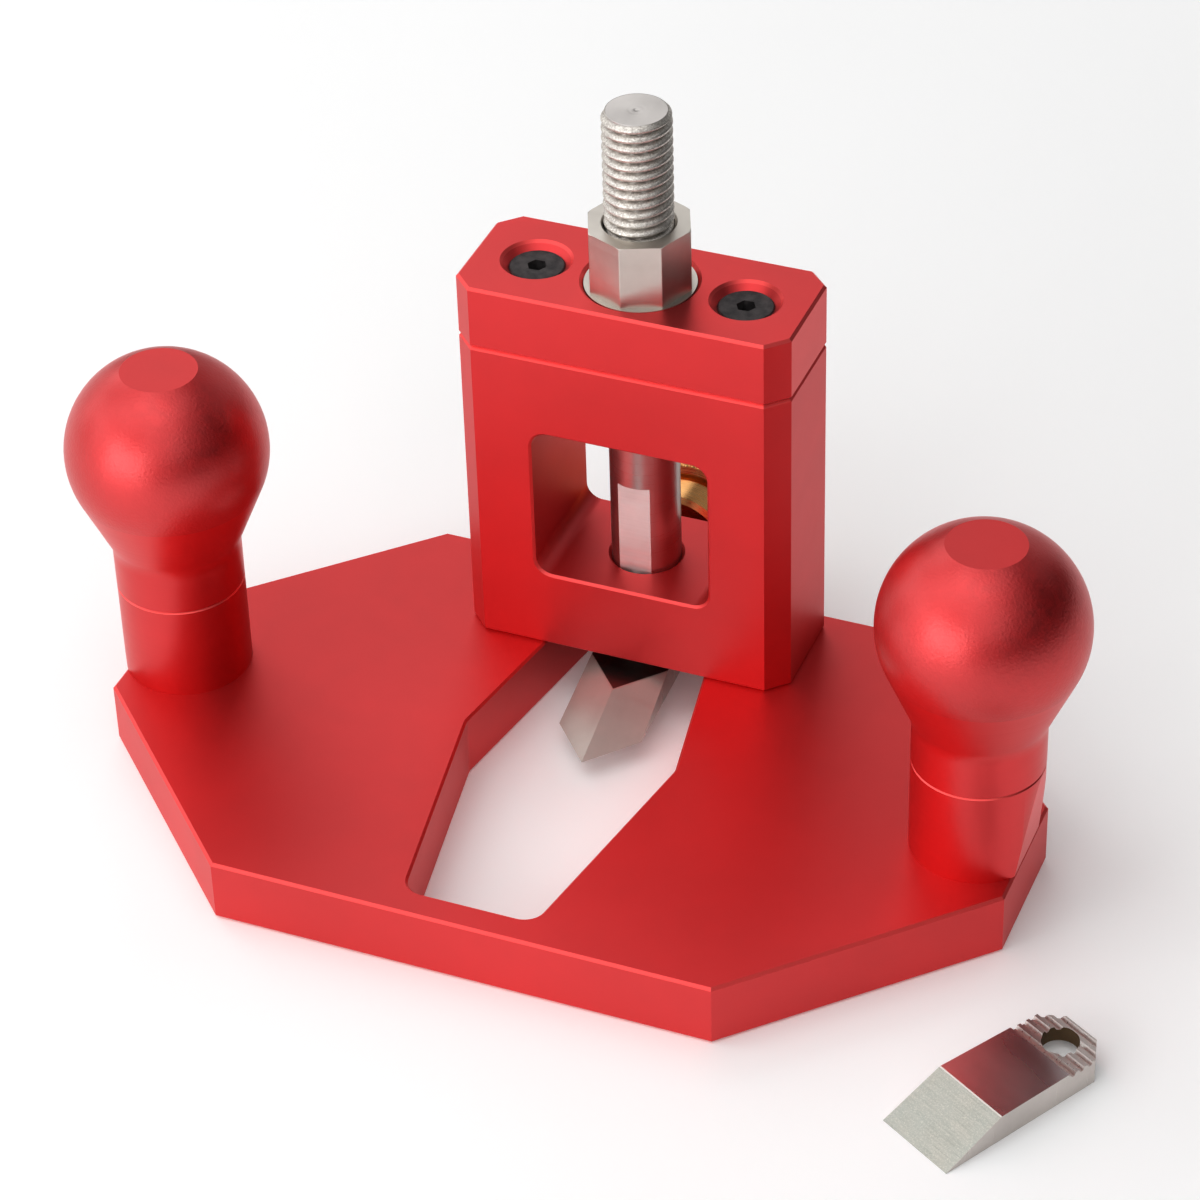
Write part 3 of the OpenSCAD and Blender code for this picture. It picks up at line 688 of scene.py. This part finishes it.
def knob_profile():
    """Neck, hollow, flare, ball and flat top, as (radius, height) points."""
    k = KNOB
    blend_steps, ball_steps = 10, 44
    reach = Vector((k["neck_r"], k["neck_h"] - k["ball_h"]))
    meet = math.atan2(reach.y, reach.x) + math.acos((k["ball_r"] - k["dip"]) / reach.length)
    touch = Vector((k["ball_r"] * math.cos(meet), k["ball_h"] + k["ball_r"] * math.sin(meet)))
    corner = Vector((k["neck_r"], k["neck_h"]))
    flare = (touch - corner).normalized()
    lean = math.atan2(flare.x, flare.y)
    setback = k["blend"] * math.tan(lean / 2)
    centre = Vector((k["neck_r"] + k["blend"], k["neck_h"] - setback))
    bends = [lean * i / blend_steps for i in range(blend_steps + 1)]
    hollow = [centre + k["blend"] * Vector((-math.cos(a), math.sin(a))) for a in bends]
    crown = math.asin(k["top"] / k["ball_r"])
    turns = [meet + (crown - meet) * i / ball_steps for i in range(ball_steps + 1)]
    ball = [(k["ball_r"] * math.cos(a), k["ball_h"] + k["ball_r"] * math.sin(a)) for a in turns]
    flat = k["ball_r"] * math.cos(crown)
    foot = [(0, 0), (k["neck_r"] - k["ring"], 0), (k["neck_r"], k["ring"])]
    return foot + [tuple(p) for p in hollow] + ball + [(flat * 0.5, ball[-1][1]), (0, ball[-1][1])]


def make_knob(side, materials):
    """A knob with a turned neck, a blasted ball and a faced flat on top."""
    low, high = box_mm(f"knob_{side}")
    middle = (low + high) / 2
    profile = knob_profile()
    finish_change = KNOB["ball_h"] - KNOB["blast"]
    flat_height = profile[-1][1] - 0.001

    def pick(height):
        if height > flat_height:
            return 2
        return 1 if height > finish_change else 0

    foot = (middle.x, middle.y, low.z)
    return turned_piece(f"knob_{side}_turned", profile, foot, UP, 128, pick, materials, sharp=16)


def make_lock(brass):
    """Thumbscrew: a plain stem and collar, and a head with a knurled band and a dished end."""
    low, high = box_mm("lock_screw")
    axis_z = (low.z + high.z) / 2
    c = LOCK["chamfer"]
    stem_r, collar_r, groove_r, head_r = LOCK["stem"], LOCK["collar"], LOCK["groove"], LOCK["head"]
    tip, back = low.y, high.y
    head = back - LOCK["head_l"]
    collar = head - LOCK["groove_l"]
    front = collar - LOCK["collar_l"]
    knurl_low, knurl_high = head + c, back - c
    band_r = head_r - LOCK["band_dip"]
    rim_r = head_r - LOCK["rim"]
    dish = back - LOCK["dish"]
    body = [
        (0, tip), (stem_r - c, tip), (stem_r, tip + c), (stem_r, front),
        (collar_r - c, front), (collar_r, front + c), (collar_r, collar),
        (groove_r, collar), (groove_r, head), (head_r - c, head), (head_r, knurl_low),
        (band_r, knurl_low), (band_r, knurl_high), (head_r, knurl_high), (head_r - c, back),
        (rim_r, back), (rim_r - LOCK["dish"], dish), (0, dish),
    ]
    stem = turned_piece("lock_body", body, (0, 0, axis_z), BACKWARD, 96, one_finish, [brass])
    sizes = {
        "Radius": head_r, "Depth": LOCK["knurl_depth"], "Count": LOCK["knurls"],
        "Low": knurl_low, "High": knurl_high, "Axis height": axis_z,
    }
    band = grow("lock_knurl", knurl_tree(), [(0, 0, 0)], brass, sizes, 50)
    return joined("lock_thumbscrew", [stem, band])


def joined(name, parts):
    """Joins pieces into the first one, which takes the name."""
    bpy.ops.object.select_all(action="DESELECT")
    for part in parts:
        part.select_set(True)
    bpy.context.view_layer.objects.active = parts[0]
    bpy.ops.object.join()
    parts[0].name = name
    return parts[0]


def make_post(plain, flat, thread):
    """The solid's plain part, its milled flat, and a cut thread on top."""
    top = box_mm("cutter_post")[1].z
    thread_low = top - THREAD["length"]
    bm = node_copy("cutter_post")
    parts = bm.verts[:] + bm.edges[:] + bm.faces[:]
    bmesh.ops.bisect_plane(bm, geom=parts, plane_co=(0, 0, thread_low * MM), plane_no=UP, clear_outer=True)
    bmesh.ops.holes_fill(bm, edges=[e for e in bm.edges if e.is_boundary], sides=0)
    bm.normal_update()
    for face in bm.faces:
        face.material_index = 1 if face.normal.y < -0.99 and is_broad(face) else 0
    body = finish_mesh(bm, "post_body", [plain, flat])
    settle_normals(body)
    overlap = 0.3
    sizes = {
        "Radius": THREAD["radius"], "Depth": THREAD["depth"], "Pitch": THREAD["pitch"],
        "Low": thread_low - overlap, "High": top, "Chamfer": THREAD["chamfer"], "Rows": 340,
    }
    screw = grow("post_thread", thread_tree(), [(0, 0, 0)], thread, sizes, 60)
    end_r = THREAD["radius"] - THREAD["chamfer"]
    centre_mark = [(0, -0.10), (0.35, -0.07), (0.55, -0.01), (0.9, -0.05), (1.25, -0.01), (1.5, 0)]
    edge, depth = 0.05, 0.4
    end = centre_mark + [(end_r - edge, 0), (end_r, -edge), (end_r, -depth), (0, -depth)]
    face = turned_piece("post_end", end, (0, 0, top), UP, 72, one_finish, [plain])
    return joined("post_and_thread", [body, screw, face])


def is_broad(face):
    return face.calc_area() > BROAD_FACE * MM * MM


def split_cutter(node, name, finishes, hole=None):
    """A cutter with ground bevels, a flat, milled sides and seat, and narrow strips between bevel and flat,
    in the given finishes: the spare's strips are a painted highlight and the pointed cutter's flat is painted
    shade.

    Hole is the place of an open hole, whose wall is painted dark as shade."""
    bm = node_copy(node)
    high = box_mm(node)[1]
    bm.normal_update()
    for face in bm.faces:
        n = face.normal
        centre = face.calc_center_median() / MM
        is_bevel = 0.75 < n.z < 0.97 and is_broad(face)
        is_top = n.z > 0.99 and centre.z > high.z - 0.02
        face.material_index = BEVEL if is_bevel else FLAT if is_top else MILLED
        near_hole = hole and math.hypot(centre.x - hole[0], centre.y - hole[1]) < SPARE_HOLE_REACH
        if near_hole and abs(n.z) < 0.1:
            face.material_index = HOLE_WALL
    crest = [e for e in bm.edges if sorted(f.material_index for f in e.link_faces) == [BEVEL, FLAT]]
    bmesh.ops.bevel(
        bm, geom=crest, offset=CREST * MM, offset_type="OFFSET", segments=1, profile=0.5,
        affect="EDGES", clamp_overlap=True, material=BRIGHT_EDGE,
    )
    piece = finish_mesh(bm, name, finishes, sharp=10)
    settle_normals(piece)
    return piece


def screw_spots(node, head_r, upright):
    """Where the heads of a node's screws are: one, a row or a rectangle of them, from the node's box.

    A side of the box that is too short for two heads holds one."""
    low, high = box_mm(node)

    def ends(a, b):
        return [(a + b) / 2] if b - a < 4 * head_r else [a + head_r, b - head_r]

    height = high.z if upright else low.z
    return [(x, y, height) for x in ends(low.x, high.x) for y in ends(low.y, high.y)]


def wear(piece, node, body):
    """Puts a dressed piece in the place of its solid."""
    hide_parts(node)
    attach(piece, body)


# Camera and light, from the photograph


CAMERA = dict(
    azimuth=22.92, elevation=37.22, roll=-1.86, distance=597.58, target=(-2.68, -11.91, 21.43),
    lens=123.76, sensor=36,
)


def towards(turn, rise):
    """The direction at some degrees from the front towards the right, and some degrees up."""
    a, e = math.radians(turn), math.radians(rise)
    return Vector((math.sin(a) * math.cos(e), -math.cos(a) * math.cos(e), math.sin(e)))


def set_camera():
    """Puts the camera where the photograph was taken from, leaning as it did."""
    azimuth, roll = math.radians(CAMERA["azimuth"]), math.radians(CAMERA["roll"])
    back = towards(CAMERA["azimuth"], CAMERA["elevation"])
    right = Vector((math.cos(azimuth), math.sin(azimuth), 0))
    down = right.cross(back)
    level = right * math.cos(roll) - down * math.sin(roll)
    fall = right * math.sin(roll) + down * math.cos(roll)
    data = bpy.data.cameras.new("view")
    data.sensor_width = CAMERA["sensor"]
    data.lens = CAMERA["lens"]
    data.clip_start = 0.01
    camera = bpy.data.objects.new("view", data)
    turn = Matrix((level, -fall, back)).transposed().to_4x4()
    spot = Vector(CAMERA["target"]) + back * CAMERA["distance"]
    camera.matrix_world = Matrix.Translation(spot * MM) @ turn
    bpy.context.scene.collection.objects.link(camera)
    bpy.context.scene.camera = camera


# Soft panels round the tool: degrees from the front towards the right, degrees up, brightness with
# 1 as white, and width and height in metres
LOW_PANEL, MIDDLE_PANEL, HIGH_PANEL, TOP_PANEL = (0.95, 0.62), (1.05, 0.75), (1.1, 0.8), (1.1, 1.1)
PANELS = dict(
    left_back_low=(-110, 14, 0.93, LOW_PANEL),
    left_low=(-80, 14, 0.76, LOW_PANEL),
    left_front_low=(-50, 14, 0.79, LOW_PANEL),
    front_low=(-22, 14, 3.15, LOW_PANEL),
    right_front_low=(8, 14, 0.31, LOW_PANEL),
    back_low=(175, 14, 0.56, LOW_PANEL),
    left_back=(-140, 38, 1.29, MIDDLE_PANEL),
    left=(-95, 38, 0.66, MIDDLE_PANEL),
    left_front=(-55, 38, 0.93, MIDDLE_PANEL),
    right_front=(20, 38, 1.0, MIDDLE_PANEL),
    right=(60, 38, 0.21, MIDDLE_PANEL),
    right_back=(150, 38, 0.29, MIDDLE_PANEL),
    high_left_back=(-120, 64, 0.44, HIGH_PANEL),
    high_front=(-30, 64, 1.15, HIGH_PANEL),
    high_right=(60, 64, 0.31, HIGH_PANEL),
    top=(0, 88, 0.94, TOP_PANEL),
)
PANEL_REACH = 1.25
PANEL_AIM = Vector((0, 0, 0.04))
FLOOR_SIZE = 3.0
FLOOR_DROP = 0.05
FLOOR_GLOW = 0.07
BACKDROP_GLOW = 0.8
ROOM_GLOW = 0.01
TONE = 0.905


def hang_panel(name, turn, rise, glow, size):
    """A soft light that looks at the middle of the tool."""
    out = towards(turn, rise)
    data = bpy.data.lights.new(name, "AREA")
    data.shape = "RECTANGLE"
    data.size, data.size_y = size
    data.energy = glow * math.pi * size[0] * size[1]
    lamp = bpy.data.objects.new(name, data)
    lamp.location = PANEL_AIM + out * PANEL_REACH
    lamp.rotation_euler = (-out).to_track_quat("-Z", "Y").to_euler()
    bpy.context.scene.collection.objects.link(lamp)


def set_studio():
    """A pale backdrop that lights nothing, a nearly dark room, and the panels."""
    world = bpy.data.worlds.new("studio")
    world.use_nodes = True
    nodes, links = world.node_tree.nodes, world.node_tree.links
    nodes["Background"].inputs["Color"].default_value = (1, 1, 1, 1)
    backdrop = nodes.new("ShaderNodeMath")
    backdrop.operation = "MULTIPLY_ADD"
    links.new(nodes.new("ShaderNodeLightPath").outputs["Is Camera Ray"], backdrop.inputs[0])
    backdrop.inputs[1].default_value = BACKDROP_GLOW
    backdrop.inputs[2].default_value = ROOM_GLOW
    links.new(backdrop.outputs[0], nodes["Background"].inputs["Strength"])
    bpy.context.scene.world = world
    for name, (turn, rise, glow, size) in PANELS.items():
        hang_panel(name, turn, rise, glow, size)
    scene = bpy.context.scene
    scene.view_settings.view_transform = "Standard"
    scene.view_settings.look = "None"
    scene.view_settings.gamma = TONE


def make_floor():
    bm = bmesh.new()
    bmesh.ops.create_grid(bm, x_segments=4, y_segments=4, size=FLOOR_SIZE / 2)
    for v in bm.verts:
        v.co.z = -FLOOR_DROP * MM
    floor = finish_mesh(bm, "floor", [pale_floor()])


def dress_blocks(column_red):
    """The plate, the column and its cap."""
    plate_red = red_finish("red_plate")
    cap_red = red_finish("red_cap", rough=(0.38, 0.46), clear=0.42)
    wear(dress_red("base_plate", "plate", plate_red, 2), "base_plate", "tool_frame")
    wear(dress_red("column", "column_block", column_red, 1), "column", "tool_frame")
    wear(dress_red("column_cap", "cap_block", cap_red, 2, False), "column_cap", "tool_frame")


def dress_post_and_nut():
    """The nut, the post that it lifts, and the screw that locks it."""
    nut_steel = machined_steel("nut_steel", (0.68, 0.64, 0.59, 1), 0.38, 30, 0.0008)
    post_steel = machined_steel("post_steel", (0.62, 0.59, 0.57, 1), 0.3, 14, 0.0006, (1, 1, 600), spread=0.5)
    post_flat = machined_steel("post_flat", (0.86, 0.82, 0.80, 1), 0.56, 40, 0.0015, (1, 1, 60))
    brass = turned_brass("turned_brass", (0.90, 0.50, 0.21, 1), 0.28)
    wear(dress_nut(nut_steel, thread_shade()), "adjusting_nut", "nut")
    wear(make_post(post_steel, post_flat, thread_steel()), "cutter_post", "post")
    wear(make_lock(brass), "lock_screw", "lock")


def dress_knobs(flat_red):
    """Both risers and knobs. The turned marks are centred on the right knob and mirrored for the left one."""
    low, high = box_mm("knob_right")
    neck_red = red_turned((low + high) / 2)
    ball_red = red_blasted()
    for side in ("left", "right"):
        wear(make_riser(side, neck_red), f"riser_{side}", "tool_frame")
        knob = make_knob(side, [neck_red, ball_red, flat_red])
        wear(knob, f"knob_{side}", "tool_frame")


def place_screws():
    """All the socket screws, grown by one tree. Those under the plate and the post have their heads down."""
    tree = screw_tree()
    black = black_oxide()
    for node, name, body, sizes in (
        ("cap_screws", "cap_socket_screws", "tool_frame", dict(M4_SCREW, Length=19.9)),
        ("column_screws", "column_socket_screws", "tool_frame", dict(M4_SCREW, Length=15.9, Turn=HEAD_DOWN)),
        ("knob_screws", "knob_socket_screws", "tool_frame", dict(M6_SCREW, Length=44.9, Turn=HEAD_DOWN)),
        ("cutter_screw", "cutter_socket_screw", "post", dict(M5_SCREW, Length=11.9, Turn=HEAD_DOWN)),
    ):
        spots = screw_spots(node, sizes["Head radius"], "Turn" not in sizes)
        wear(grow(name, tree, spots, black, sizes), node, body)


def dress_cutters():
    """The pointed cutter on the post and the spare straight one."""
    milled = machined_steel("milled_cutter", (0.66, 0.61, 0.58, 1), 0.3, 60, 0.0015, (40, 40, 1))
    # Pale, half-metallic strip where the spare's bevel meets its flat: a painted highlight
    crest = machined_steel("bright_crest", (0.86, 0.85, 0.80, 1), 0.4, 200, 0.001, (4, 4, 4), metallic=0.6)
    # The spare's hole wall is painted dark brown: painted shade inside the hole
    hole_shade_brown = (0.14, 0.09, 0.05, 1)
    hole_wall = machined_steel("drilled_wall", hole_shade_brown, 0.5, 60, 0.004, (1, 1, 60), metallic=0.5)
    across = (0, 0, -SPARE_TURN)
    polish = (0.60, 0.55, 0.55, 1)
    flat = machined_steel("polished_flat", polish, 0.27, 30, 0.00002, (1, 3, 1), across)
    honed = machined_steel("honed_bevel", (0.52, 0.47, 0.43, 1), 0.34, 60, 0.0001, (4, 40, 4), metallic=0.7)
    # The pointed cutter's flat lies under the column: painted shade, near black
    dark = machined_steel("dark_flat", (0.16, 0.13, 0.12, 1), 0.35, 80, 0.0006, (1, 40, 1))
    v_finishes = (honed, dark, milled, honed, milled)
    wear(split_cutter("v_cutter", "pointed_cutter", v_finishes), "v_cutter", "post")
    spare_finishes = (ground_bevel("ground_straight", -SPARE_TURN), flat, milled, crest, hole_wall)
    spare = split_cutter("straight_cutter", "spare_cutter_blade", spare_finishes, SPARE_HOLE)
    wear(spare, "straight_cutter", "spare_cutter")


def finish_hidden_pieces():
    """The solids that stay as they are get their finish."""
    pin_steel = machined_steel("pin_steel", (0.55, 0.55, 0.55, 1), 0.25, 14, 0.001)
    bronze = turned_brass("bronze_washer", (0.66, 0.45, 0.24, 1), 0.35)
    for node, finish in (("thrust_washer", bronze), ("guide_pin", pin_steel), ("riser_pins", pin_steel)):
        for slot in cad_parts[node].material_slots:
            slot.material = finish


def build():
    """Makes every piece and puts it on its body."""
    column_red = red_finish("red_column")
    dress_blocks(column_red)
    dress_post_and_nut()
    dress_knobs(column_red)
    place_screws()
    dress_cutters()
    finish_hidden_pieces()


set_camera()
set_studio()
make_floor()
build()
